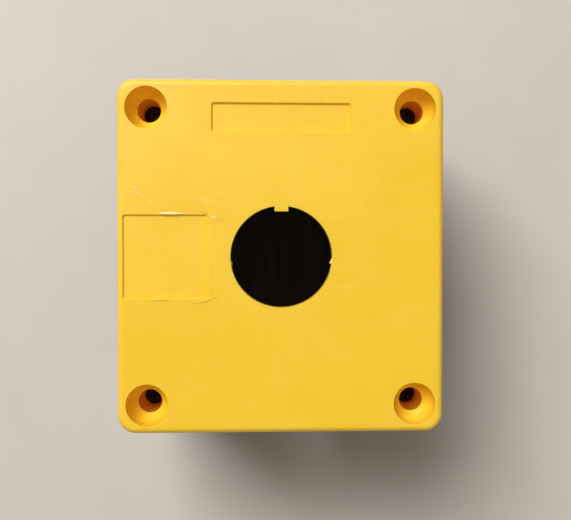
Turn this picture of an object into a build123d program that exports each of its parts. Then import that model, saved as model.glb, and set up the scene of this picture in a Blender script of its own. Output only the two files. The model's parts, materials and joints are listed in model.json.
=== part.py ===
"""Housing for one 22 mm push button: a keyed front cover screwed to a deep wall box.

Millimetres.  The origin is the centre of the box's back face, +Z points out through the front
cover and +Y points up the wall, towards the key of the actuator hole.
"""
from build123d import *

import math
import os

# Overall sizes
width = 72.0
height = 78.0
depth = 66.0
cover_depth = 24.0
corner_radius = 3.9
face_edge_radius = 1.3
back_edge_radius = 1.0

# Shells
wall = 3.0
face_thickness = 3.0
floor_thickness = 3.0
base_reveal = 0.25
base_draft_deg = 0.5
back_border = 5.5
back_relief = 0.8
back_relief_corner = 2.0
back_pad_d = 15.0
gate_mark_d = 9.0
gate_mark_depth = 0.5
skirt_width = 1.2
inner_corner_radius = 1.0

# Actuator hole with its anti-rotation key
actuator_hole_d = 22.5
key_width = 3.05
key_reach = 1.2

# Label recesses in the face
slot_width = 30.8
slot_height = 6.5
slot_depth = 0.6
slot_edge_gap = 5.1
square_width = 18.85
square_height = 18.6
square_depth = 0.5
square_edge_gap = 1.2
square_ramp_width = 0.75
recess_corner_radius = 0.6
recess_draft_deg = 30.0

# Screw wells, screws and inserts
screw_inset_x = 6.4
screw_inset_y = 6.3
well_mouth_d = 9.3
well_lip = 2.4
well_depth = 6.0
head_d = 4.5
head_height = 1.8
head_crown = 0.45
head_clearance = 0.4
shank_d = 2.5
shank_length = 14.0
shank_clearance = 0.2
cross_d = 2.4
cross_slot = 0.65
cross_depth = 1.1
washer_thickness = 0.7
ledge_thickness = 6.0
thread_clearance = 0.05
insert_wall = 0.75
insert_length = 5.8
insert_waist_cut = 0.2
insert_waist_length = 1.4
tip_clearance = 1.7
pillar_wall = 1.8
well_wall = 0.9
well_flare_length = 3.5

# Gasket between cover and box
gasket_thickness = 1.5
gasket_side_clearance = 0.1

# Wall fixing through the floor
fixing_spacing = 54.0
fixing_hole_d = 4.5
fixing_boss_d = 10.0
fixing_boss_height = 1.5

# Cable entries in the lower and upper walls
entry_d = 20.5
entry_rise = 1.0
seat_width = 3.25
seat_inset = 1.0

# Rubber grommet in the upper entry
grommet_flange_clearance = 0.3
grommet_lip = 1.75
grommet_inner_flange = 1.6
grommet_web = 1.0
grommet_ring_width = 2.2
grommet_rings = (4.5, 7.0)
grommet_ring_height = 0.35

# Ribs on the side walls of the box
rib_width = 1.6
rib_height = 1.5
rib_spacing = 24.0
rib_top_gap = 6.0

# Derived levels and radii
parting_z = depth - cover_depth
seat_z = parting_z + gasket_thickness
ceiling_z = depth - face_thickness
ledge_z = seat_z + ledge_thickness
head_base_z = ledge_z + washer_thickness
head_top_z = head_base_z + head_height
shank_tip_z = head_base_z - shank_length
entry_centre_z = parting_z / 2 + entry_rise
screw_bore_d = head_d + 2 * head_clearance
shank_hole_d = shank_d + 2 * shank_clearance
threaded_bore_d = shank_d + 2 * thread_clearance
insert_d = shank_d + 2 * insert_wall
insert_waist_d = insert_d - 2 * insert_waist_cut
pillar_d = screw_bore_d + 2 * pillar_wall
flare_d = well_mouth_d + 2 * well_wall
seat_d = entry_d + 2 * seat_width
grommet_inner_flange_d = entry_d + 2 * grommet_lip
screw_x = width / 2 - screw_inset_x
screw_y = height / 2 - screw_inset_y
entry_seat_y = height / 2 - seat_inset
inner_wall_y = height / 2 - wall

CORNERS = {
    "top_left": (-screw_x, screw_y),
    "top_right": (screw_x, screw_y),
    "bottom_left": (-screw_x, -screw_y),
    "bottom_right": (screw_x, -screw_y),
}


def outline(inset=0.0):
    """Rounded rectangle of the housing, moved inwards by the inset."""
    return RectangleRounded(width - 2 * inset, height - 2 * inset, corner_radius - inset)


def cavity_outline():
    """Inside of both shells: the walls, less a filled corner and a round pillar at each screw."""
    space = RectangleRounded(width - 2 * wall, height - 2 * wall, inner_corner_radius)
    for x, y in CORNERS.values():
        space -= Pos(x, y) * Circle(pillar_d / 2)
        side_x = math.copysign(width / 2, x)
        side_y = math.copysign(height / 2, y)
        corner_fill = Rectangle(abs(side_x - x), abs(side_y - y))
        space -= Pos((x + side_x) / 2, (y + side_y) / 2) * corner_fill
    return space


def slab(sketch, low_z, high_z):
    """Straight extrusion of a sketch between two levels."""
    return extrude(Pos(0, 0, low_z) * sketch, high_z - low_z)


def rod(x, y, diameter, low_z, high_z):
    """Round bar along Z between two levels."""
    return slab(Pos(x, y) * Circle(diameter / 2), low_z, high_z)


def cross_rod(diameter, near_y, far_y):
    """Round bar along Y between two planes, on the cable entries' level."""
    bar = Cylinder(diameter / 2, far_y - near_y, rotation=(90, 0, 0))
    return Pos(0, (near_y + far_y) / 2, entry_centre_z) * bar


def screw_well(x, y):
    """Void of one screw well: short lip, round funnel, bore to the ledge and shank hole."""
    mouth_r = well_mouth_d / 2
    bore_r = screw_bore_d / 2
    lip_z = depth - well_lip
    throat_z = depth - well_depth
    above = depth + 1
    edges = [
        Line((0, above), (mouth_r, above)),
        Line((mouth_r, above), (mouth_r, lip_z)),
        TangentArc((mouth_r, lip_z), (bore_r, throat_z), tangent=(0, -1)),
        Line((bore_r, throat_z), (bore_r, ledge_z)),
        Line((bore_r, ledge_z), (0, ledge_z)),
        Line((0, ledge_z), (0, above)),
    ]
    profile = make_face([Plane.XZ * edge for edge in edges])
    funnel = revolve(profile, Axis.Z)
    return Pos(x, y) * funnel + rod(x, y, shank_hole_d, parting_z, ledge_z + 1)


def well_flare(x, y):
    """Cone below the face that keeps a wall round the funnel."""
    low_r = pillar_d / 2
    cone = Cone(low_r, flare_d / 2, well_flare_length)
    return Pos(x, y, ceiling_z - well_flare_length / 2) * cone


def actuator_hole():
    """Void of the keyed round hole through the face."""
    key_height = key_reach + 1
    key_y = actuator_hole_d / 2 - key_reach + key_height / 2
    shape = Circle(actuator_hole_d / 2) - Pos(0, key_y) * Rectangle(key_width, key_height)
    return slab(shape, ceiling_z - 1, depth + 1)


def recess_void(shape, recess_depth):
    """Void of a shallow recess in the face, with sloping sides."""
    return extrude(Pos(0, 0, depth) * shape, -recess_depth, taper=recess_draft_deg)


def label_slot():
    """Void of the long label slot near the upper edge."""
    centre_y = height / 2 - slot_edge_gap - slot_height / 2
    shape = Pos(0, centre_y) * RectangleRounded(slot_width, slot_height, recess_corner_radius)
    return recess_void(shape, slot_depth)


def square_recess():
    """Void of the square label recess, with a ramp along its inner side."""
    left_x = square_edge_gap - width / 2
    centre_x = left_x + square_width / 2
    shape = Pos(centre_x, 0) * RectangleRounded(square_width, square_height, recess_corner_radius)
    pocket = recess_void(shape, square_depth)
    floor_end_x = left_x + square_width - square_ramp_width
    ramp_end_x = left_x + square_width
    wedge = Polyline(
        (floor_end_x, depth - square_depth),
        (ramp_end_x, depth - square_depth),
        (ramp_end_x, depth),
        close=True,
    )
    ramp_face = make_face(Plane.XZ * wedge)
    ramp = extrude(ramp_face, square_height / 2, both=True)
    return pocket - ramp


def front_cover():
    """Cover shell: face, walls, screw pillars and a skirt that hides the gasket."""
    shell = slab(outline(), parting_z, depth)
    face_rim = shell.faces().sort_by(Axis.Z)[-1].edges()
    shell = fillet(face_rim, face_edge_radius)
    envelope = shell
    shell -= slab(cavity_outline(), parting_z - 1, ceiling_z)
    shell -= slab(outline(skirt_width), parting_z - 1, seat_z)
    for x, y in CORNERS.values():
        shell += well_flare(x, y) & envelope
    for x, y in CORNERS.values():
        shell -= screw_well(x, y)
    return shell - actuator_hole() - label_slot() - square_recess()


def cover_gasket():
    """Flat gasket under the skirt, lobed round the screw pillars."""
    shape = outline(skirt_width + gasket_side_clearance) - cavity_outline()
    for x, y in CORNERS.values():
        shape -= Pos(x, y) * Circle(shank_hole_d / 2)
    return slab(shape, parting_z, seat_z)


def base_shell():
    """Box body: drafted walls, floor, filled corners and screw pillars."""
    body = extrude(Pos(0, 0, parting_z) * outline(base_reveal), -parting_z, taper=base_draft_deg)
    back_rim = body.faces().sort_by(Axis.Z)[0].edges()
    body = fillet(back_rim, back_edge_radius)
    return body - slab(cavity_outline(), floor_thickness, parting_z + 1)


def back_relief_void():
    """Void that leaves the box standing on its border and on a pad round each fixing hole."""
    shape = RectangleRounded(width - 2 * back_border, height - 2 * back_border, back_relief_corner)
    for y in (-fixing_spacing / 2, fixing_spacing / 2):
        shape -= Pos(0, y) * Circle(back_pad_d / 2)
    gate_mark = rod(0, 0, gate_mark_d, -1, back_relief + gate_mark_depth)
    return slab(shape, -1, back_relief) + gate_mark


def side_ribs():
    """Two upright ribs on each side wall."""
    top_z = parting_z - rib_top_gap
    inner_x = width / 2 - wall
    ribs = []
    for side in (-1, 1):
        for y in (-rib_spacing / 2, rib_spacing / 2):
            rib = Pos(side * (inner_x - rib_height / 2), y) * Rectangle(rib_height, rib_width)
            ribs.append(slab(rib, floor_thickness, top_z))
    return ribs


def insert_pocket(x, y):
    """Void in a pillar for its insert and for the tip of the screw."""
    pocket = rod(x, y, insert_d, parting_z - insert_length, parting_z + 1)
    return pocket + rod(x, y, shank_hole_d, shank_tip_z - tip_clearance, parting_z)


def entry_void(side):
    """Void of a cable entry: a hole through the wall and a flat seat outside it."""
    planes = sorted((side * (inner_wall_y - 1), side * (height / 2 + 1)))
    seat_planes = sorted((side * entry_seat_y, side * (height / 2 + 1)))
    return cross_rod(entry_d, *planes) + cross_rod(seat_d, *seat_planes)


def base_box():
    """Wall box with two fixing holes, two cable entries and four insert pillars."""
    box = base_shell() - back_relief_void()
    for rib in side_ribs():
        box += rib
    for y in (-fixing_spacing / 2, fixing_spacing / 2):
        box += rod(0, y, fixing_boss_d, floor_thickness, floor_thickness + fixing_boss_height)
        box -= rod(0, y, fixing_hole_d, -1, floor_thickness + fixing_boss_height + 1)
    for x, y in CORNERS.values():
        box -= insert_pocket(x, y)
    for side in (-1, 1):
        box -= entry_void(side)
    return box


def cable_grommet():
    """Blind rubber grommet in the upper entry, flush with the wall outside."""
    flange_d = seat_d - 2 * grommet_flange_clearance
    outer_y = height / 2 - base_reveal - math.tan(math.radians(base_draft_deg)) * parting_z
    inner_y = inner_wall_y - grommet_inner_flange
    body = cross_rod(flange_d, entry_seat_y, outer_y)
    body += cross_rod(entry_d, inner_wall_y, entry_seat_y)
    body += cross_rod(grommet_inner_flange_d, inner_y, inner_wall_y)
    hollow_d = entry_d - 2 * grommet_ring_width
    body -= cross_rod(hollow_d, inner_y - 1, outer_y - grommet_web)
    for radius in grommet_rings:
        groove = cross_rod(2 * radius + 1, outer_y - grommet_ring_height, outer_y + 1)
        groove -= cross_rod(2 * radius, outer_y - grommet_ring_height - 1, outer_y + 2)
        body -= groove
    return body


def cover_screw(x, y):
    """Pan-head screw with a cross recess, down in its well."""
    head = rod(x, y, head_d, head_base_z, head_top_z)
    head = fillet(head.faces().sort_by(Axis.Z)[-1].edges(), head_crown)
    slot_z = head_top_z - cross_depth
    for slot in (Rectangle(cross_d, cross_slot), Rectangle(cross_slot, cross_d)):
        head -= slab(Pos(x, y) * slot, slot_z, head_top_z + 1)
    shank = rod(x, y, shank_d, shank_tip_z, head_base_z)
    shank = chamfer(shank.faces().sort_by(Axis.Z)[0].edges(), shank_d / 6)
    return head + shank


def screw_washer(x, y):
    """Sealing washer between a screw head and the ledge of its well."""
    ring = rod(x, y, head_d, ledge_z, head_base_z)
    return ring - rod(x, y, threaded_bore_d, ledge_z - 1, head_base_z + 1)


def screw_insert(x, y):
    """Brass insert pressed into a pillar, with a plain waist between its two bands."""
    low_z = parting_z - insert_length
    waist_z = (low_z + parting_z - insert_waist_length) / 2
    waist_top_z = waist_z + insert_waist_length
    body = rod(x, y, insert_d, low_z, parting_z)
    ring = rod(x, y, insert_d + 1, waist_z, waist_top_z)
    ring -= rod(x, y, insert_waist_d, waist_z - 1, waist_top_z + 1)
    return body - ring - rod(x, y, threaded_bore_d, low_z - 1, parting_z + 1)


def main():
    """Write every sub-part to its own STEP file."""
    os.makedirs("parts", exist_ok=True)
    parts = {
        "front_cover": front_cover(),
        "cover_gasket": cover_gasket(),
        "base_box": base_box(),
        "cable_grommet": cable_grommet(),
    }
    for corner, (x, y) in CORNERS.items():
        parts[f"cover_screw_{corner}"] = cover_screw(x, y)
        parts[f"screw_washer_{corner}"] = screw_washer(x, y)
        parts[f"screw_insert_{corner}"] = screw_insert(x, y)
    for node, shape in parts.items():
        export_step(shape, f"parts/{node}.step")


main()
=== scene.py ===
"""Looks of the push-button housing: finishes, moulding flash, threaded screws, light and camera.

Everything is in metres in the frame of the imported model: the origin is the centre of the back
face, +Z points out through the front cover and +Y points up the wall.
"""
import json
import logging
import math
from dataclasses import dataclass
from enum import Enum

import bmesh
import bpy
import numpy as np
from mathutils import Euler, Matrix, Vector

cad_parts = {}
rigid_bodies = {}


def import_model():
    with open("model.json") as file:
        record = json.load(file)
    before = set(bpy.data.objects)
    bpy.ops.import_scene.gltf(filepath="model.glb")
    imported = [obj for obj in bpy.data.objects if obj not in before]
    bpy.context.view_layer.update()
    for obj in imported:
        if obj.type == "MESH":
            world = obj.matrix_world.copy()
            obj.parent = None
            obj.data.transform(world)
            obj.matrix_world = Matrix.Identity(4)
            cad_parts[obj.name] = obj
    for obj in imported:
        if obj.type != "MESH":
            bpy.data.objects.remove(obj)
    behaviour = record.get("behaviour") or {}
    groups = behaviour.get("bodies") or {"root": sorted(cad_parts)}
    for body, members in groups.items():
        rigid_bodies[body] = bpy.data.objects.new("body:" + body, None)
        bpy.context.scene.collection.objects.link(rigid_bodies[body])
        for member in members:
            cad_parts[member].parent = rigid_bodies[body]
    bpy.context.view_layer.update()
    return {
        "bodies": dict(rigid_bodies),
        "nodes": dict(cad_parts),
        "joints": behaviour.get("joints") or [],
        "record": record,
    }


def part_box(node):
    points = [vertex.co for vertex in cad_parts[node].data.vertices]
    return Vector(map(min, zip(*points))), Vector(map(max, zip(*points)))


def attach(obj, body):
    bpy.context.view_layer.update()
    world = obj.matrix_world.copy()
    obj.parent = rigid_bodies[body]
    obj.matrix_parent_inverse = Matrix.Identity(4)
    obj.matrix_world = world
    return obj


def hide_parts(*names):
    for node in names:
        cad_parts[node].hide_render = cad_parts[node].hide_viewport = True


LOG = logging.getLogger("housing")
MM = 0.001
FULL_TURN = 2.0 * math.pi
MERGE_DISTANCE = 1e-7
Colour = tuple[float, float, float, float]


class Corner(Enum):
    """The four screw positions of the cover."""

    TOP_LEFT = "top_left"
    TOP_RIGHT = "top_right"
    BOTTOM_LEFT = "bottom_left"
    BOTTOM_RIGHT = "bottom_right"


class Slot(Enum):
    """Material slot names of the record."""

    YELLOW = "yellow_plastic"
    STEEL = "black_steel"
    BRASS = "insert_brass"


def srgb(red: int, green: int, blue: int) -> Colour:
    """Linear colour of an 8-bit display colour.

    Args:
        red: Red, 0 to 255.
        green: Green, 0 to 255.
        blue: Blue, 0 to 255.

    Returns:
        Linear red, green, blue and an alpha of one.
    """
    parts = np.array([red, green, blue]) / 255.0
    linear = np.where(parts <= 0.04045, parts / 12.92, ((parts + 0.055) / 1.055) ** 2.4)
    return (*(float(value) for value in linear), 1.0)


# ---------------------------------------------------------------------------------------------
# Shader node helpers and the effects that several finishes share


class NodeSheet:
    """A node tree with short ways to add and join nodes."""

    def __init__(self, tree: bpy.types.NodeTree) -> None:
        """Keep the tree that the nodes go into."""
        self.tree = tree

    def add(self, kind: str, **settings: object) -> bpy.types.Node:
        """Add a node.

        Args:
            kind: Blender's name of the node type.
            settings: Properties of the node itself.

        Returns:
            The new node.
        """
        node = self.tree.nodes.new(kind)
        for name, value in settings.items():
            setattr(node, name, value)
        return node

    def join(self, source: bpy.types.NodeSocket, target: bpy.types.NodeSocket) -> None:
        """Link an output to an input."""
        self.tree.links.new(source, target)

    def feed(self, value: object, target: bpy.types.NodeSocket) -> None:
        """Link a socket, or set a plain number, on an input.

        Args:
            value: An output socket or a number.
            target: The input that receives it.
        """
        if isinstance(value, bpy.types.NodeSocket):
            self.join(value, target)
        else:
            target.default_value = value

    def math(self, operation: str, first: object, second: object = 0.0) -> bpy.types.NodeSocket:
        """Result of a Math node.

        Args:
            operation: The Math node's operation.
            first: First number or socket.
            second: Second number or socket.

        Returns:
            The result socket.
        """
        node = self.add("ShaderNodeMath", operation=operation)
        self.feed(first, node.inputs[0])
        self.feed(second, node.inputs[1])
        return node.outputs[0]

    def blend(self, first: object, first_share: float, second: object,
              second_share: float) -> bpy.types.NodeSocket:
        """Weighted sum of two values.

        Args:
            first: First number or socket.
            first_share: Its weight.
            second: Second number or socket.
            second_share: Its weight.

        Returns:
            The sum.
        """
        parts = (
            self.math("MULTIPLY", first, first_share),
            self.math("MULTIPLY", second, second_share),
        )
        return self.math("ADD", *parts)

    def ramp(self, value: object, low: float, high: float) -> bpy.types.NodeSocket:
        """Smooth step of a value, from 0 to 1 between two limits.

        Args:
            value: Number or socket that is stepped.
            low: Value at which the step begins.
            high: Value at which the step ends.

        Returns:
            The stepped value.
        """
        node = self.add("ShaderNodeMapRange", interpolation_type="SMOOTHSTEP")
        for socket, number in zip(node.inputs, (value, low, high)):
            self.feed(number, socket)
        return node.outputs[0]

    def noise(self, vector: bpy.types.NodeSocket, scale: object, detail: float = 2.0,
              roughness: float = 0.5) -> bpy.types.NodeSocket:
        """Fractal noise between about 0 and 1.

        Args:
            vector: Where the noise is read.
            scale: Cells per metre.
            detail: Octaves.
            roughness: Weight of each further octave.

        Returns:
            The noise value.
        """
        node = self.add("ShaderNodeTexNoise")
        self.join(vector, node.inputs["Vector"])
        self.feed(scale, node.inputs["Scale"])
        node.inputs["Detail"].default_value = detail
        node.inputs["Roughness"].default_value = roughness
        return node.outputs[0]

    def axes(self, vector: bpy.types.NodeSocket) -> list[bpy.types.NodeSocket]:
        """X, Y and Z of a vector."""
        node = self.add("ShaderNodeSeparateXYZ")
        self.join(vector, node.inputs[0])
        return list(node.outputs)

    def stretched(self, vector: bpy.types.NodeSocket, turn: tuple[float, float, float],
                  scale: tuple[float, float, float]) -> bpy.types.NodeSocket:
        """A vector scaled along each axis and then turned.

        Args:
            vector: The vector.
            turn: Rotation about each axis in radians.
            scale: Scale along each axis.

        Returns:
            The new vector.
        """
        node = self.add("ShaderNodeMapping")
        self.join(vector, node.inputs["Vector"])
        node.inputs["Rotation"].default_value = turn
        node.inputs["Scale"].default_value = scale
        return node.outputs[0]

    def mix_colour(self, mask: object, first: object, second: object) -> bpy.types.NodeSocket:
        """Blend of two colours.

        Args:
            mask: Share of the second colour.
            first: First colour or socket.
            second: Second colour or socket.

        Returns:
            The blended colour.
        """
        node = self.add("ShaderNodeMix", data_type="RGBA")
        self.feed(mask, node.inputs[0])
        self.feed(first, node.inputs[6])
        self.feed(second, node.inputs[7])
        return node.outputs[2]


class EffectSheet(NodeSheet):
    """A shader node group with named sockets, built once and used by several finishes."""

    made: dict[str, bpy.types.NodeTree] = {}

    def __init__(self, name: str, inputs: dict[str, float],
                 outputs: tuple[str, ...] = ("Mask",)) -> None:
        """Open a new group with its coordinates, numbers and outputs.

        Args:
            name: Name of the group.
            inputs: Number inputs and their usual values.
            outputs: Value outputs.
        """
        tree = bpy.data.node_groups.new(name, "ShaderNodeTree")
        tree.interface.new_socket("Vector", in_out="INPUT", socket_type="NodeSocketVector")
        for label, value in inputs.items():
            socket = tree.interface.new_socket(label, in_out="INPUT", socket_type="NodeSocketFloat")
            socket.default_value = value
        for label in outputs:
            tree.interface.new_socket(label, in_out="OUTPUT", socket_type="NodeSocketFloat")
        super().__init__(tree)
        self.given = self.add("NodeGroupInput").outputs
        self.result = self.add("NodeGroupOutput").inputs
        self.made[name] = tree


def build_moulded_grain() -> None:
    """Spark-eroded mould texture: fine noise plus rounder pits, as a height from 0 to 1."""
    sheet = EffectSheet("moulded_grain", {"Scale": 2600.0}, ("Height",))
    vector, scale = sheet.given["Vector"], sheet.given["Scale"]
    fine = sheet.noise(vector, scale, detail=3.0, roughness=0.6)
    pits = sheet.add("ShaderNodeTexVoronoi", feature="SMOOTH_F1")
    sheet.join(vector, pits.inputs["Vector"])
    sheet.join(sheet.math("MULTIPLY", scale, 0.6), pits.inputs["Scale"])
    rounded = sheet.ramp(pits.outputs["Distance"], 0.0, 0.7)
    sheet.join(sheet.blend(fine, 0.6, rounded, 0.4), sheet.result["Height"])


def build_flow_mottle() -> None:
    """Cloudy variation that the flow of the melt leaves: a slow and a finer noise, 0 to 1."""
    sheet = EffectSheet("flow_mottle", {"Scale": 60.0})
    vector, scale = sheet.given["Vector"], sheet.given["Scale"]
    slow = sheet.noise(vector, scale, detail=2.0, roughness=0.45)
    quick = sheet.noise(vector, sheet.math("MULTIPLY", scale, 7.0), detail=2.0)
    both = sheet.blend(slow, 0.65, quick, 0.35)
    sheet.join(sheet.ramp(both, 0.32, 0.68), sheet.result["Mask"])


def build_hair_scratches() -> None:
    """Thin handling scratches: stretched cell edges in three directions, broken up by noise."""
    sheet = EffectSheet("hair_scratches", {"Scale": 90.0, "Width": 0.006})
    scale = sheet.given["Scale"]
    total = None
    for turn, stretch in ((0.35, 0.09), (1.25, 0.06), (2.35, 0.12)):
        place = sheet.stretched(sheet.given["Vector"], (0.2, 0.1, turn), (stretch, 1.0, stretch))
        cells = sheet.add("ShaderNodeTexVoronoi", feature="DISTANCE_TO_EDGE")
        sheet.join(place, cells.inputs["Vector"])
        sheet.join(scale, cells.inputs["Scale"])
        line = sheet.math("LESS_THAN", cells.outputs["Distance"], sheet.given["Width"])
        patch = sheet.noise(place, sheet.math("MULTIPLY", scale, 1.7), detail=1.0)
        kept = sheet.math("MULTIPLY", line, sheet.ramp(patch, 0.55, 0.7))
        total = kept if total is None else sheet.math("MAXIMUM", total, kept)
    sheet.join(total, sheet.result["Mask"])


def build_dust_specks() -> None:
    """Sparse dust: a small dot in the few cells whose random value is low enough."""
    sheet = EffectSheet("dust_specks", {"Scale": 500.0, "Share": 0.04, "Radius": 0.16})
    cells = sheet.add("ShaderNodeTexVoronoi", feature="F1")
    sheet.join(sheet.given["Vector"], cells.inputs["Vector"])
    sheet.join(sheet.given["Scale"], cells.inputs["Scale"])
    split = sheet.add("ShaderNodeSeparateColor")
    sheet.join(cells.outputs["Color"], split.inputs[0])
    chosen = sheet.math("LESS_THAN", split.outputs[0], sheet.given["Share"])
    dot = sheet.math("LESS_THAN", cells.outputs["Distance"], sheet.given["Radius"])
    sheet.join(sheet.math("MULTIPLY", chosen, dot), sheet.result["Mask"])


def build_rim_wear_and_highlight() -> None:
    """Rubbed outer corners with a painted highlight along them: how far a point is outside a box on
    two of its three axes, 0 to 1.
    """
    given = {"Half X": 0.0345, "Half Y": 0.0375, "Low Z": 0.0, "High Z": 0.0645}
    sheet = EffectSheet("rim_wear_and_highlight", given)
    x, y, z = sheet.axes(sheet.given["Vector"])
    past = [
        sheet.math("SUBTRACT", sheet.math("ABSOLUTE", x), sheet.given["Half X"]),
        sheet.math("SUBTRACT", sheet.math("ABSOLUTE", y), sheet.given["Half Y"]),
        sheet.math(
            "MAXIMUM",
            sheet.math("SUBTRACT", z, sheet.given["High Z"]),
            sheet.math("SUBTRACT", sheet.given["Low Z"], z),
        ),
    ]
    steps = [sheet.ramp(value, 0.0, 0.0012) for value in past]
    first, second, third = (
        sheet.math("MULTIPLY", steps[one], steps[other]) for one, other in ((0, 1), (0, 2), (1, 2))
    )
    edge = sheet.math("MAXIMUM", first, sheet.math("MAXIMUM", second, third))
    broken = sheet.ramp(sheet.noise(sheet.given["Vector"], 900.0, detail=4.0), 0.3, 0.85)
    sheet.join(sheet.math("MULTIPLY", edge, broken), sheet.result["Mask"])


def build_painted_bore_light() -> None:
    """Where bounce light is painted inside the four narrow screw bores: their walls, and a share
    that grows downwards.
    """
    given = {"Bore X": 0.0296, "Bore Y": 0.0327, "Radius": 0.0027, "Low Z": 0.049, "High Z": 0.06}
    sheet = EffectSheet("painted_bore_light", given, ("Mask", "Depth"))
    x, y, z = sheet.axes(sheet.given["Vector"])
    from_x = sheet.math("SUBTRACT", sheet.math("ABSOLUTE", x), sheet.given["Bore X"])
    from_y = sheet.math("SUBTRACT", sheet.math("ABSOLUTE", y), sheet.given["Bore Y"])
    square_x = sheet.math("MULTIPLY", from_x, from_x)
    square_y = sheet.math("MULTIPLY", from_y, from_y)
    distance = sheet.math("SQRT", sheet.math("ADD", square_x, square_y))
    near = sheet.math("LESS_THAN", distance, sheet.given["Radius"])
    above = sheet.math("GREATER_THAN", z, sheet.given["Low Z"])
    depth = sheet.math("SUBTRACT", sheet.given["High Z"], z)
    inside = sheet.math("MULTIPLY", near, above)
    mask = sheet.math("MULTIPLY", inside, sheet.ramp(depth, -0.0001, 0.0003))
    sheet.join(mask, sheet.result["Mask"])
    sheet.join(sheet.math("MULTIPLY", mask, sheet.ramp(depth, 0.0, 0.005)), sheet.result["Depth"])


def build_floor_streaks() -> None:
    """Pale upright streaks on the floor inside the box, over an even pale tint of the whole floor.
    """
    given = {"Low Z": 0.0025, "High Z": 0.004, "Scale": 430.0, "Floor lift": 0.4}
    sheet = EffectSheet("floor_streaks", given)
    place = sheet.stretched(sheet.given["Vector"], (0.0, 0.0, 0.09), (1.0, 0.12, 1.0))
    streak = sheet.ramp(sheet.noise(place, sheet.given["Scale"], detail=3.0), 0.38, 0.75)
    z = sheet.axes(sheet.given["Vector"])[2]
    above = sheet.math("GREATER_THAN", z, sheet.given["Low Z"])
    below = sheet.math("LESS_THAN", z, sheet.given["High Z"])
    bare = sheet.math("SUBTRACT", 1.0, sheet.given["Floor lift"])
    floor_lift = sheet.math("ADD", sheet.given["Floor lift"], sheet.math("MULTIPLY", streak, bare))
    on_floor = sheet.math("MULTIPLY", above, below)
    sheet.join(sheet.math("MULTIPLY", floor_lift, on_floor), sheet.result["Mask"])


def build_effects() -> None:
    """Build every shared effect once."""
    builders = (
        build_moulded_grain,
        build_flow_mottle,
        build_hair_scratches,
        build_dust_specks,
        build_rim_wear_and_highlight,
        build_painted_bore_light,
        build_floor_streaks,
    )
    for build in builders:
        build()


class FinishSheet(NodeSheet):
    """The node tree of one material, with its Principled shader and object coordinates."""

    def __init__(self, name: str) -> None:
        """Start a material with an empty Principled shader.

        Args:
            name: Name of the material.
        """
        self.material = bpy.data.materials.new(name)
        self.material.use_nodes = True
        super().__init__(self.material.node_tree)
        self.shader = self.tree.nodes["Principled BSDF"]
        self.place = self.add("ShaderNodeTexCoord").outputs["Object"]

    def effect(self, name: str, output: int = 0, **numbers: float) -> bpy.types.NodeSocket:
        """One output of a shared effect placed in this material.

        Args:
            name: Name of the effect group.
            output: Which output.
            numbers: Its number inputs, with underscores for spaces.

        Returns:
            The effect's output.
        """
        node = self.add("ShaderNodeGroup", node_tree=EffectSheet.made[name])
        self.join(self.place, node.inputs["Vector"])
        for label, value in numbers.items():
            node.inputs[label.replace("_", " ")].default_value = value
        return node.outputs[output]

    def bump(self, height: bpy.types.NodeSocket, strength: float, distance: float,
             under: bpy.types.NodeSocket | None = None) -> bpy.types.NodeSocket:
        """Normal of a bumped surface.

        Args:
            height: Height from 0 to 1.
            strength: Strength of the bump.
            distance: Height in metres that 1 stands for.
            under: Normal of a coarser bump below this one.

        Returns:
            The bumped normal.
        """
        node = self.add("ShaderNodeBump")
        node.inputs["Strength"].default_value = strength
        node.inputs["Distance"].default_value = distance
        self.join(height, node.inputs["Height"])
        if under is not None:
            self.join(under, node.inputs["Normal"])
        return node.outputs[0]

    def set(self, **values: object) -> None:
        """Set or link inputs of the shader, with underscores for spaces in their names."""
        for label, value in values.items():
            self.feed(value, self.shader.inputs[label.replace("_", " ")])


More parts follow.
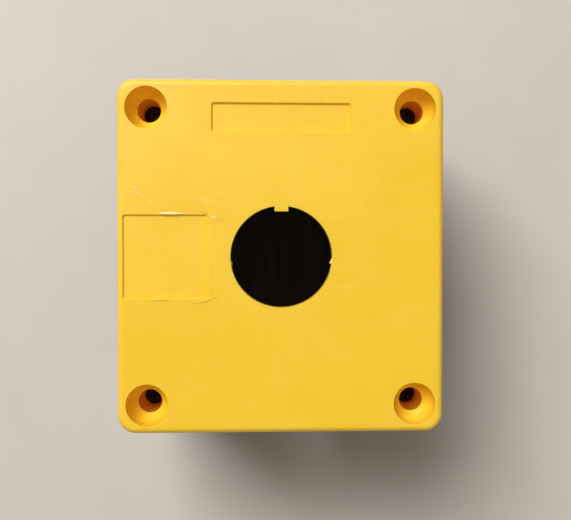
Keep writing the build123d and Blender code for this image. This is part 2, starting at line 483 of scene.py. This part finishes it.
@dataclass(frozen=True)
class MouldedPlastic:
    """Injection-moulded plastic with grain, flow mottle, scratches, dust, rubbed rims that also
    carry a painted highlight, and, with scattering on, painted bounce light and glow in the screw
    bores.
    """

    name: str
    light: Colour
    dark: Colour
    # Pale rim colour, standing both for rubbing and for a painted highlight on the rounded edges.
    worn_and_highlight: Colour
    scratched: Colour
    roughness: float = 0.42
    grain_scale: float = 2600.0
    grain_height: float = 0.00002
    lump_height: float = 0.00006
    scratch_depth: float = 0.00002
    ior: float = 1.53
    rubbed_and_highlight_share: float = 0.35
    scratched_share: float = 0.35
    dust: float = 0.35
    dust_colour: Colour = srgb(236, 232, 222)
    streaks: float = 0.0
    streak_colour: Colour = (0.36, 0.345, 0.34, 1.0)
    subsurface: float = 0.0
    # Painted bounce light in the screw bores: a redder wall colour and a faint glow.
    painted_bore_bounce_colour: Colour = (0.72, 0.36, 0.02, 1.0)
    painted_bore_glow: Colour = (0.11, 0.022, 0.001, 1.0)
    scatter_radius: tuple[float, float, float] = (1.0, 0.32, 0.04)
    scatter_length: float = 0.0025
    rim: tuple[float, float, float, float] = (0.0345, 0.0375, 0.0, 0.0645)

    def material(self) -> bpy.types.Material:
        """Make the material.

        Returns:
            The new material.
        """
        sheet = FinishSheet(self.name)
        half_x, half_y, low_z, high_z = self.rim
        mottle = sheet.effect("flow_mottle", Scale=70.0)
        edge_wear_and_highlight = sheet.effect("rim_wear_and_highlight", Half_X=half_x, Half_Y=half_y, Low_Z=low_z, High_Z=high_z)
        scratch = sheet.effect("hair_scratches", Scale=110.0, Width=0.003)
        speck = sheet.effect("dust_specks", Scale=420.0, Share=0.01, Radius=0.12)
        colour = sheet.mix_colour(mottle, self.dark, self.light)
        # The rim mask lays a painted highlight as well as wear along the rounded rims.
        layers = [
            (edge_wear_and_highlight, self.rubbed_and_highlight_share, self.worn_and_highlight),
            (scratch, self.scratched_share, self.scratched),
            (speck, self.dust, self.dust_colour),
        ]
        if self.streaks:
            layers.append((sheet.effect("floor_streaks"), self.streaks, self.streak_colour))
        for mask, share, tint in layers:
            colour = sheet.mix_colour(sheet.math("MULTIPLY", mask, share), colour, tint)
        rough = sheet.math("ADD", self.roughness, sheet.math("MULTIPLY", mottle, 0.05))
        rough = sheet.math("SUBTRACT", rough, sheet.math("MULTIPLY", edge_wear_and_highlight, 0.04))
        rough = sheet.math("ADD", rough, sheet.math("MULTIPLY", scratch, 0.12))
        grain = sheet.effect("moulded_grain", Scale=self.grain_scale)
        lumpy = sheet.bump(mottle, 0.25, self.lump_height)
        normal = sheet.bump(grain, 0.5, self.grain_height, lumpy)
        unscratched = sheet.math("SUBTRACT", 1.0, scratch)
        normal = sheet.bump(unscratched, 0.25, self.scratch_depth, normal)
        sheet.set(Base_Color=colour, Roughness=rough, Normal=normal, IOR=self.ior)
        if self.subsurface:
            self.scatter_and_paint_bore_light(sheet, colour)
        return sheet.material

    def scatter_and_paint_bore_light(self, sheet: FinishSheet, colour: bpy.types.NodeSocket) -> None:
        """Add the light that scatters below the surface, and paint the bounce light between the
        walls of the bores.

        Args:
            sheet: Sheet of the material.
            colour: Its colour outside the bores.
        """
        walls, deep = sheet.effect("painted_bore_light"), sheet.effect("painted_bore_light", 1)
        # Painted glow deep in the bores: emission that stands in for bounced light.
        glow = sheet.mix_colour(deep, (0.0, 0.0, 0.0, 1.0), self.painted_bore_glow)
        sheet.set(
            # Painted bounce light: the bore walls take a redder colour.
            Base_Color=sheet.mix_colour(walls, colour, self.painted_bore_bounce_colour),
            Emission_Color=glow,
            Emission_Strength=1.0,
            Subsurface_Weight=self.subsurface,
            Subsurface_Radius=self.scatter_radius,
            Subsurface_Scale=self.scatter_length,
        )


@dataclass(frozen=True)
class Elastomer:
    """Rubber or foam: dull, slightly dusty, with fine pores."""

    name: str
    colour: Colour
    bloom: Colour
    pore_scale: float = 3200.0
    pore_height: float = 0.00004
    roughness: float = 0.72
    dust: float = 0.3
    dust_colour: Colour = srgb(150, 146, 138)

    def material(self) -> bpy.types.Material:
        """Make the material.

        Returns:
            The new material.
        """
        sheet = FinishSheet(self.name)
        mottle = sheet.effect("flow_mottle", Scale=160.0)
        speck = sheet.effect("dust_specks", Scale=700.0, Share=0.05, Radius=0.2)
        colour = sheet.mix_colour(mottle, self.colour, self.bloom)
        dusty = sheet.math("MULTIPLY", speck, self.dust)
        colour = sheet.mix_colour(dusty, colour, self.dust_colour)
        pores = sheet.effect("moulded_grain", Scale=self.pore_scale)
        rough = sheet.math("ADD", self.roughness, sheet.math("MULTIPLY", mottle, 0.1))
        normal = sheet.bump(pores, 0.8, self.pore_height)
        sheet.set(Base_Color=colour, Roughness=rough, Normal=normal)
        return sheet.material


@dataclass(frozen=True)
class Metal:
    """Plated or turned metal with fine marks and slight tarnish."""

    name: str
    colour: Colour
    tarnish: Colour
    metallic: float = 1.0
    roughness: float = 0.34
    grain_scale: float = 9000.0
    grain_height: float = 0.000006

    def material(self) -> bpy.types.Material:
        """Make the material.

        Returns:
            The new material.
        """
        sheet = FinishSheet(self.name)
        mottle = sheet.effect("flow_mottle", Scale=500.0)
        scratch = sheet.effect("hair_scratches", Scale=900.0, Width=0.02)
        colour = sheet.mix_colour(mottle, self.colour, self.tarnish)
        rough = sheet.math("ADD", self.roughness, sheet.math("MULTIPLY", mottle, 0.14))
        rough = sheet.math("ADD", rough, sheet.math("MULTIPLY", scratch, 0.1))
        grain = sheet.effect("moulded_grain", Scale=self.grain_scale)
        normal = sheet.bump(grain, 0.4, self.grain_height)
        sheet.set(Base_Color=colour, Metallic=self.metallic, Roughness=rough, Normal=normal)
        return sheet.material


# ---------------------------------------------------------------------------------------------
# New meshes


def grid_piece(name: str, points: np.ndarray, wrap_rows: bool = False, wrap_columns: bool = False,
               smooth: bool = True) -> bpy.types.Object:
    """Mesh object of a surface sampled on a grid.

    Args:
        name: Name of the piece.
        points: Positions in metres, rows by columns by three.
        wrap_rows: Whether the last row joins the first.
        wrap_columns: Whether the last column joins the first.
        smooth: Whether the surface is shaded smooth.

    Returns:
        The new object, at the origin.
    """
    rows, columns = points.shape[:2]
    row = np.arange(rows if wrap_rows else rows - 1)[:, None]
    column = np.arange(columns if wrap_columns else columns - 1)[None, :]
    next_row, next_column = (row + 1) % rows, (column + 1) % columns
    corners = [
        row * columns + column,
        row * columns + next_column,
        next_row * columns + next_column,
        next_row * columns + column,
    ]
    shape = np.broadcast(row, column).shape
    faces = np.stack([np.broadcast_to(corner, shape) for corner in corners], -1)
    mesh = bpy.data.meshes.new(name)
    mesh.from_pydata(points.reshape(-1, 3).tolist(), [], faces.reshape(-1, 4).tolist())
    mesh.polygons.foreach_set("use_smooth", [smooth] * len(mesh.polygons))
    mesh.update()
    piece = bpy.data.objects.new(name, mesh)
    bpy.context.scene.collection.objects.link(piece)
    return piece


def round_angles(count: int) -> np.ndarray:
    """Even angles once round, in radians, without the repeated last one."""
    return np.linspace(0.0, FULL_TURN, count, endpoint=False)


def turned_grid(radius: np.ndarray, level: np.ndarray, centre: Vector, turns: int) -> np.ndarray:
    """Surface of a profile turned about a vertical axis.

    The point of profile row i and angle a is the centre plus radius[i, a] times (cos a, sin a)
    and level[i] up.  The level may also be given for every row and angle.

    Args:
        radius: Radii by row and angle.
        level: Heights by row, or by row and angle.
        centre: Point on the axis.
        turns: Number of angles.

    Returns:
        Positions, rows by angles by three.
    """
    angle = round_angles(turns)
    high = np.broadcast_to(level if level.ndim == 2 else level[:, None], radius.shape)
    return np.stack([
        centre.x + radius * np.cos(angle),
        centre.y + radius * np.sin(angle),
        centre.z + high,
    ], -1)


def ribbon(name: str, path: np.ndarray, width: np.ndarray, height: np.ndarray,
           lean: float = 0.0, sides: int = 14) -> bpy.types.Object:
    """Closed sliver along a path, lying on the face.

    At share s of the path the section is the loop of angles a from 0 to 2 pi with the offsets
    width(s) times cos a across the path and height(s) times (1 + sin a) upwards, leaning sideways
    by lean times its rise.  Width and height are zero at both ends, which closes it.

    Args:
        name: Name of the piece.
        path: Points in metres, count by three.
        width: Half width at each point.
        height: Half height at each point.
        lean: Sideways lean as a share of the rise.
        sides: Points round the section.

    Returns:
        The new object.
    """
    along = np.gradient(path, axis=0)
    across = np.stack([-along[:, 1], along[:, 0], np.zeros(len(path))], -1)
    across /= np.linalg.norm(across, axis=1)[:, None]
    angle = round_angles(sides)
    rise = height[:, None] * (np.sin(angle) + 1.0)
    side = width[:, None] * np.cos(angle) + lean * rise
    points = path[:, None, :] + side[..., None] * across[:, None, :]
    points[..., 2] += rise
    return grid_piece(name, points, wrap_columns=True)


def close_ends(piece: bpy.types.Object) -> None:
    """Merge the points that meet at a piece's tips and turn every face outwards.

    Args:
        piece: Piece whose ends have shrunk to points.
    """
    work = bmesh.new()
    work.from_mesh(piece.data)
    bmesh.ops.remove_doubles(work, verts=work.verts, dist=MERGE_DISTANCE)
    bmesh.ops.recalc_face_normals(work, faces=work.faces)
    work.to_mesh(piece.data)
    work.free()


def node_centre(node: str) -> tuple[Vector, float]:
    """Centre of a CAD node's box and half its height."""
    low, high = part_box(node)
    return (low + high) / 2, (high.z - low.z) / 2


def dress(piece: bpy.types.Object, material: bpy.types.Material, body: str) -> None:
    """Give a new piece its material and the body it rides on.

    Args:
        piece: The new piece.
        material: Its material.
        body: Body that it moves with.
    """
    piece.data.materials.append(material)
    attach(piece, body)
    LOG.info("%s: %d faces on %s", piece.name, len(piece.data.polygons), body)


def dress_node(frame: dict, node: str, material: bpy.types.Material) -> None:
    """Put a material on every slot of a CAD node.

    Args:
        frame: The loaded frame.
        node: Name of the node.
        material: Its material.
    """
    slots = frame["nodes"][node].data.materials
    if not slots:
        slots.append(material)
    for index in range(len(slots)):
        slots[index] = material
    LOG.info("%s: finish %s", node, material.name)


# ---------------------------------------------------------------------------------------------
# Sub-assemblies


@dataclass
class Cover:
    """Yellow front cover with the moulding flash left round its recess and its hole."""

    frame: dict
    plastic: MouldedPlastic
    pale_flash: MouldedPlastic
    torn: MouldedPlastic
    hole_radius: float = 11.25 * MM
    web_root: float = 0.05 * MM
    web_gap: float = 0.02 * MM
    web_thickness: float = 0.85 * MM
    crumb_height: float = 0.06 * MM
    steps: int = 48

    def __post_init__(self) -> None:
        """Read the height of the face."""
        self.face_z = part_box("front_cover")[1].z

    def build(self) -> None:
        """Dress the cover and add its flash, crumbs and web remnants."""
        material = self.plastic.material()
        pale, torn = self.pale_flash.material(), self.torn.material()
        dress_node(self.frame, "front_cover", material)
        nibs = self.web_nibs()
        groups = (
            # The lifted sliver and the crumbs are drawn in a near-white pale plastic.
            ([self.lifted_sliver()], pale),
            (self.curls(), material),
            (self.crumbs(), pale),
            (nibs[:1], torn),
            (nibs[1:], material),
        )
        for pieces, finish in groups:
            for piece in pieces:
                close_ends(piece)
                dress(piece, finish, "cover")

    def swell(self, power: float = 1.0) -> np.ndarray:
        """Share of full section along a sliver: the sine of pi times s, raised to a power."""
        share = np.linspace(0.0, 1.0, self.steps)
        return np.sin(math.pi * share).clip(0.0) ** power

    def path(self, start: tuple[float, float], end: tuple[float, float], bow: float,
             wave: float = 0.0) -> np.ndarray:
        """Bowed path on the face.

        The point at share s is the straight line between the ends, moved across it by bow times
        4 s (1 - s) and by wave times the sine of 2 pi s.

        Args:
            start: First end in millimetres.
            end: Last end in millimetres.
            bow: Sideways bow in millimetres.
            wave: Sideways wave in millimetres.

        Returns:
            Points in metres.
        """
        share = np.linspace(0.0, 1.0, self.steps)[:, None]
        first, last = np.array(start) * MM, np.array(end) * MM
        along = last - first
        across = np.array([-along[1], along[0]]) / np.linalg.norm(along)
        offset = (bow * 4.0 * share * (1.0 - share) + wave * np.sin(FULL_TURN * share)) * MM
        flat = first + share * along + offset * across
        return np.column_stack([flat, np.full(self.steps, self.face_z)])

    def lifted_sliver(self) -> bpy.types.Object:
        """Sliver of skin that stands up along the recess's upper edge and leans over it."""
        path = self.path((-27.2, 9.45), (-21.1, 9.45), 0.16)
        swell = self.swell(0.8)
        return ribbon("recess_upper_flash", path, 0.28 * MM * swell, 0.11 * MM * swell, -0.6)

    def curls(self) -> list[bpy.types.Object]:
        """Thin curls along the recess's lower edge and off its two inner corners."""
        shapes = (
            ("recess_lower_flash_left", (-28.7, -9.75), (-24.2, -9.35), 0.12, 0.05, 0.16, 0.08),
            ("recess_lower_flash_right", (-20.2, -10.1), (-14.0, -8.45), -0.55, 0.0, 0.14, 0.08),
            ("recess_corner_flash", (-18.6, 10.25), (-15.9, 9.3), 0.12, 0.0, 0.13, 0.05),
            ("recess_corner_scrape", (-14.4, 8.8), (-12.9, 7.7), 0.05, 0.0, 0.08, 0.04),
        )
        swell = self.swell(0.7)
        return [
            ribbon(name, self.path(start, end, bow, wave), width * MM * swell, height * MM * swell)
            for name, start, end, bow, wave, width, height in shapes
        ]

    def crumbs(self) -> list[bpy.types.Object]:
        """Small pale crumbs on the face and at the recess's upper corner."""
        places = (
            ("face_crumb_upper", (-32.3, 14.9), (-31.7, 15.1), 0.2),
            ("face_crumb_lower", (-31.8, 13.8), (-31.2, 13.8), 0.16),
            ("recess_corner_crumb", (-15.5, 8.8), (-14.0, 8.35), 0.18),
        )
        swell = self.swell(0.5)
        return [
            ribbon(name, self.path(start, end, 0.05), width * MM * swell, self.crumb_height * swell)
            for name, start, end, width in places
        ]

    def web_nibs(self) -> list[bpy.types.Object]:
        """Remnants of the broken web in the hole: shallow teeth along short arcs of its edge.

        A tooth's inner radius at share s of its arc is the hole radius less its depth times a
        saw-tooth of s; its outer radius lies just behind the surface of the wall.
        """
        teeth = (
            ("hole_web_right", -0.5, -8.3, 0.66, 0.8, 0.05),
            ("hole_web_right_low", -8.3, -15.5, 0.2, 0.4, 0.05),
            ("hole_web_left", 183.0, 189.0, 0.42, 0.8, 0.55),
            ("hole_web_left_low", 189.0, 192.5, 0.2, 0.8, 0.55),
        )
        return [self.tooth(*values) for values in teeth]

    def tooth(self, name: str, start: float, end: float, depth: float, lean: float,
              drop: float) -> bpy.types.Object:
        """One remnant of the web.

        Args:
            name: Name of the piece.
            start: Angle in degrees where it begins.
            end: Angle in degrees where it ends.
            depth: Largest reach into the hole in millimetres.
            lean: Power of the rise; above one it is a saw-tooth that is deepest near its end.
            drop: How far its top lies below the face in millimetres.

        Returns:
            The new object.
        """
        share = np.linspace(0.0, 1.0, self.steps)
        angle = np.radians(start + (end - start) * share)
        last_tenth = np.clip((1.0 - share) / 0.1, 0.0, 1.0)
        reach = depth * MM * share ** lean * last_tenth
        outer = np.full(self.steps, self.hole_radius + self.web_root)
        inner = self.hole_radius + self.web_gap - reach
        top = self.face_z - drop * MM
        low = top - self.web_thickness
        radius = np.stack([outer, inner, inner, outer], 1)
        level = np.broadcast_to([top, top, low, low], radius.shape)
        flat = radius * np.cos(angle)[:, None], radius * np.sin(angle)[:, None]
        points = np.stack([*flat, level], -1)
        middle = points.mean(axis=1, keepdims=True)
        capped = np.concatenate([
            np.broadcast_to(middle[:1], points[:1].shape),
            points,
            np.broadcast_to(middle[-1:], points[-1:].shape),
        ])
        return grid_piece(name, capped, wrap_columns=True, smooth=False)


@dataclass
class CoverScrew:
    """Black pan-head screw with a cross recess and a rolled thread, in place of its CAD node."""

    corner: Corner
    steel: bpy.types.Material
    head_radius: float = 2.25 * MM
    head_height: float = 1.8 * MM
    crown: float = 0.5 * MM
    cross_half_width: float = 0.34 * MM
    cross_half_length: float = 1.2 * MM
    cross_depth: float = 1.1 * MM
    core_radius: float = 1.0 * MM
    thread_radius: float = 1.25 * MM
    plain_length: float = 1.8 * MM
    pitch: float = 0.45 * MM
    rings: int = 56
    turns: int = 192
    blunt: float = 0.06 * MM
    rows_per_pitch: int = 8
    tip_share: float = 0.55
    head_radii: tuple[float, ...] = (1.0, 1.0, 0.98, 0.62)
    head_levels: tuple[float, ...] = (-0.5, -0.93, -0.99, -1.0)

    def build(self) -> None:
        """Build the screw and let it replace its node."""
        node = f"cover_screw_{self.corner.value}"
        centre, half = node_centre(node)
        radius, level = self.profile(2.0 * half - self.head_height)
        points = turned_grid(radius, level, centre + Vector((0.0, 0.0, half)), self.turns)
        piece = grid_piece(f"pan_head_{self.corner.value}", points, wrap_columns=True)
        close_ends(piece)
        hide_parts(node)
        dress(piece, self.steel, f"screw_{self.corner.value}")

    def profile(self, length: float) -> tuple[np.ndarray, np.ndarray]:
        """Radius and level of every row and angle, from the middle of the head to the tip.

        The head's top is a shallow dome, level = -crown (r / R) cubed, less the cross recess; the
        recess is a product of smooth steps in x and y.  The thread's radius is the core plus its
        height times a triangle wave of depth / pitch - angle / (2 pi).

        Args:
            length: Length of the shank below the head.

        Returns:
            The radii and the levels, rows by angles.
        """
        angle = round_angles(self.turns)
        share = np.linspace(0.0, 1.0, self.rings)[:, None]
        top_radius = self.head_radius * share + 0.0 * angle
        top_level = -self.crown * share ** 3 - self.cross_depth * self.cross(top_radius, angle)
        side_radius = np.array(self.head_radii)[:, None] * self.head_radius + 0.0 * angle
        side_level = np.array(self.head_levels)[:, None] * self.head_height + 0.0 * angle
        rows = int(length / self.pitch * self.rows_per_pitch)
        depth = np.linspace(0.0, length, rows)[:, None]
        phase = (depth / self.pitch - angle / FULL_TURN) % 1.0
        wave = 1.0 - np.abs(2.0 * phase - 1.0)
        starts = np.clip((depth - self.plain_length) / self.pitch, 0.0, 1.0)
        ends = np.clip((length - depth) / (2.0 * self.pitch), 0.0, 1.0)
        height = (self.thread_radius - self.core_radius) * ((1.0 - starts) + starts * wave)
        taper = self.tip_share + (1.0 - self.tip_share) * ends
        shank_radius = (self.core_radius + height) * taper
        shank_level = -self.head_height - depth + 0.0 * angle
        tip_radius = np.zeros((1, self.turns))
        tip_level = np.full((1, self.turns), -self.head_height - length)
        radius = np.concatenate([top_radius, side_radius, shank_radius, tip_radius])
        level = np.concatenate([top_level, side_level, shank_level, tip_level])
        return radius, level

    def cross(self, radius: np.ndarray, angle: np.ndarray) -> np.ndarray:
        """Depth share of the cross recess: one inside either slot, with short smooth sides.

        Args:
            radius: Radii of the points.
            angle: Angles of the points.

        Returns:
            Shares from 0 to 1.
        """
        x, y = np.abs(radius * np.cos(angle)), np.abs(radius * np.sin(angle))
        wide, long = self.cross_half_width, self.cross_half_length
        slots = np.maximum(
            self.inside(x, wide) * self.inside(y, long),
            self.inside(y, wide) * self.inside(x, long),
        )
        return slots * np.clip(1.15 - 0.35 * radius / long, 0.0, 1.0)

    def inside(self, distance: np.ndarray, half: float) -> np.ndarray:
        """Smooth step that falls from one to zero at a half width."""
        step = np.clip((half - distance) / self.blunt + 0.5, 0.0, 1.0)
        return step * step * (3.0 - 2.0 * step)


@dataclass
class KnurledInsert:
    """Brass insert with two straight-knurled bands and a threaded bore, in place of its node."""

    corner: Corner
    brass: bpy.types.Material
    radius: float = 2.0 * MM
    waist_radius: float = 1.8 * MM
    waist_half: float = 0.7 * MM
    knurl_depth: float = 0.1 * MM
    knurls: int = 26
    bore_radius: float = 1.3 * MM
    thread_depth: float = 0.17 * MM
    pitch: float = 0.45 * MM
    turns: int = 208
    thread_rows: int = 93
    bevel: float = 0.2 * MM

    def build(self) -> None:
        """Build the insert and let it replace its node."""
        node = f"screw_insert_{self.corner.value}"
        centre, half = node_centre(node)
        angle = round_angles(self.turns)
        rise = np.array([self.waist_half, self.waist_half + self.bevel, half - self.bevel, half])
        wide = np.array([self.waist_radius, self.radius, self.radius, self.radius - self.bevel])
        outer_level = np.concatenate([-rise[::-1], rise])
        outer_radius = np.concatenate([wide[::-1], wide])[:, None]
        ridge = 0.5 - 0.5 * np.cos(self.knurls * angle)
        knurled = outer_radius > self.waist_radius
        outer = outer_radius - self.knurl_depth * knurled * ridge
        inner_level = np.linspace(half, -half, self.thread_rows)
        phase = (inner_level[:, None] / self.pitch - angle / FULL_TURN) % 1.0
        open_ends = np.clip((half - np.abs(inner_level)) / self.pitch, 0.0, 1.0)[:, None]
        inner = self.bore_radius + self.thread_depth * (1.0 - np.abs(2.0 * phase - 1.0)) * open_ends
        radius = np.concatenate([outer, inner])
        level = np.concatenate([outer_level, inner_level])
        points = turned_grid(radius, level, centre, self.turns)
        name = f"knurled_insert_{self.corner.value}"
        piece = grid_piece(name, points, wrap_rows=True, wrap_columns=True)
        close_ends(piece)
        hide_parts(node)
        dress(piece, self.brass, "base")


@dataclass
class Fasteners:
    """The screws, their washers and their inserts at the four corners."""

    frame: dict
    steel: Metal
    brass: Metal
    washer: Elastomer

    def build(self) -> None:
        """Build and dress one set at every corner."""
        steel, brass, rubber = self.steel.material(), self.brass.material(), self.washer.material()
        for corner in Corner:
            CoverScrew(corner, steel).build()
            KnurledInsert(corner, brass).build()
            dress_node(self.frame, f"screw_washer_{corner.value}", rubber)


@dataclass
class WallBox:
    """Dark grey box with its gasket and its grommet."""

    frame: dict
    plastic: MouldedPlastic
    gasket: Elastomer
    grommet: Elastomer

    def build(self) -> None:
        """Dress the three nodes."""
        dress_node(self.frame, "base_box", self.plastic.material())
        dress_node(self.frame, "cover_gasket", self.gasket.material())
        dress_node(self.frame, "cable_grommet", self.grommet.material())


# ---------------------------------------------------------------------------------------------
# Floor, light and camera


@dataclass
class Studio:
    """Pale floor, a large soft light above the upper left corner and weak fill from all round."""

    face_centre: Vector
    floor_half: float = 1.5
    floor_colour: Colour = srgb(208, 203, 196)
    floor_cloud: float = 1.05
    key_power: float = 26.0
    key_size: float = 0.86
    key_place: tuple[float, float, float] = (-0.52, 0.82, 1.27)
    key_colour: tuple[float, float, float] = (1.0, 0.985, 0.96)
    fill_power: float = 0.4
    fill_size: float = 0.8
    fill_place: tuple[float, float, float] = (0.5, -0.45, 0.7)
    sky: float = 0.2
    warmth: tuple[float, float, float] = (1.0, 0.9, 0.78)
    camera_distance: float = 200.0 * MM
    camera_tilt_x: float = math.radians(1.39)
    camera_tilt_y: float = math.radians(2.63)
    camera_roll: float = math.radians(0.03)
    axis_offset: tuple[float, float] = (-7.18 * MM, 1.13 * MM)
    lens: float = 57.19
    shift: tuple[float, float] = (-0.0499, 0.0035)

    def build(self) -> None:
        """Build the floor, the lights and the camera."""
        self.floor()
        self.lights()
        self.camera()

    def floor(self) -> None:
        """Plain pale floor under the back face, with a faint cloudiness."""
        corner = np.array([-self.floor_half, self.floor_half])
        points = np.stack(np.meshgrid(corner, corner, indexing="xy"), -1)
        points = np.concatenate([points, np.zeros((2, 2, 1))], -1)
        piece = grid_piece("floor", points, smooth=False)
        sheet = FinishSheet("pale_floor")
        mottle = sheet.effect("flow_mottle", Scale=9.0)
        light = (*(min(1.0, value * self.floor_cloud) for value in self.floor_colour[:3]), 1.0)
        sheet.set(Base_Color=sheet.mix_colour(mottle, self.floor_colour, light), Roughness=0.6)
        piece.data.materials.append(sheet.material)

    def area(self, name: str, place: tuple[float, float, float], size: float, power: float,
             colour: tuple[float, float, float]) -> None:
        """Square area light that points at the face.

        Args:
            name: Name of the light.
            place: Position in metres.
            size: Side in metres.
            power: Watts.
            colour: Linear colour.
        """
        lamp = bpy.data.lights.new(name, "AREA")
        lamp.size, lamp.energy, lamp.color = size, power, colour
        holder = bpy.data.objects.new(name, lamp)
        holder.location = place
        holder.rotation_mode = "QUATERNION"
        holder.rotation_quaternion = (self.face_centre - Vector(place)).to_track_quat("-Z", "Y")
        bpy.context.scene.collection.objects.link(holder)

    def lights(self) -> None:
        """Key light, fill light and an even sky."""
        self.area("key", self.key_place, self.key_size, self.key_power, self.key_colour)
        self.area("fill", self.fill_place, self.fill_size, self.fill_power, self.warmth)
        world = bpy.data.worlds.new("even_sky")
        world.use_nodes = True
        background = world.node_tree.nodes["Background"]
        background.inputs["Color"].default_value = (*self.warmth, 1.0)
        background.inputs["Strength"].default_value = self.sky
        bpy.context.scene.world = world
        bpy.context.scene.view_settings.view_transform = "Standard"

    def camera(self) -> None:
        """Camera above the face, tilted a little to the left and towards the upper edge."""
        lens = bpy.data.cameras.new("main_view")
        lens.sensor_width = 36.0
        lens.lens = self.lens
        lens.shift_x, lens.shift_y = self.shift
        turn = Euler((self.camera_tilt_x, self.camera_tilt_y, self.camera_roll), "XYZ").to_matrix()
        offset = Vector((*self.axis_offset, -self.camera_distance))
        place = self.face_centre - turn.transposed() @ offset
        holder = bpy.data.objects.new("main_view", lens)
        holder.matrix_world = Matrix.Translation(place) @ turn.transposed().to_4x4()
        bpy.context.scene.collection.objects.link(holder)
        bpy.context.scene.camera = holder


# ---------------------------------------------------------------------------------------------
# Finishes of this housing

YELLOW_ABS = MouldedPlastic(
    name="yellow_abs",
    light=srgb(254, 209, 54),
    dark=srgb(251, 204, 44),
    # Pale rim colour: wear plus a painted highlight.
    worn_and_highlight=srgb(255, 224, 120),
    scratched=srgb(255, 226, 130),
    roughness=0.4,
    # Scattering on: this also turns on the painted bounce light and glow in the bores.
    subsurface=0.3,
    rim=(0.0347, 0.0377, 0.0, 0.0647),
)
# Near-white plastic of the lifted sliver and the crumbs.
PALE_FLASH_ABS = MouldedPlastic(
    name="pale_flash_abs",
    light=srgb(255, 244, 190),
    dark=srgb(254, 232, 150),
    worn_and_highlight=srgb(255, 250, 220),
    scratched=srgb(255, 250, 220),
    roughness=0.3,
)
TORN_ABS = MouldedPlastic(
    name="torn_abs",
    light=srgb(254, 222, 116),
    dark=srgb(252, 215, 98),
    worn_and_highlight=srgb(255, 232, 150),
    scratched=srgb(255, 232, 150),
    roughness=0.4,
)
BLACK_ABS = MouldedPlastic(
    name="black_abs",
    light=srgb(84, 80, 77),
    dark=srgb(70, 67, 65),
    worn_and_highlight=srgb(100, 97, 94),
    scratched=srgb(80, 78, 75),
    roughness=0.5,
    grain_height=0.00003,
    dust=0.2,
    streaks=0.54,
    rim=(0.0348, 0.0378, 0.0005, 0.0415),
)
FOAM_RUBBER = Elastomer("gasket_foam", srgb(46, 46, 46), srgb(62, 61, 59), pore_height=0.00009)
GROMMET_RUBBER = Elastomer("grommet_rubber", srgb(36, 36, 37), srgb(48, 48, 48))
WASHER_RUBBER = Elastomer(
    "washer_rubber", srgb(32, 32, 32), srgb(42, 42, 42), pore_scale=6000.0)
BLACK_STEEL = Metal(
    "black_oxide_steel", srgb(38, 37, 38), srgb(62, 58, 54), metallic=0.9, roughness=0.38)
BRASS = Metal("insert_brass", srgb(205, 168, 92), srgb(168, 128, 62), roughness=0.28)


def main() -> None:
    """Build every sub-assembly in order, then the studio."""
    logging.basicConfig(level=logging.INFO, format="%(message)s")
    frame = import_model()
    build_effects()
    WallBox(frame, BLACK_ABS, FOAM_RUBBER, GROMMET_RUBBER).build()
    Fasteners(frame, BLACK_STEEL, BRASS, WASHER_RUBBER).build()
    Cover(frame, YELLOW_ABS, PALE_FLASH_ABS, TORN_ABS).build()
    Studio(Vector((0.0, 0.0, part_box("front_cover")[1].z))).build()


if __name__ == "__main__":
    main()
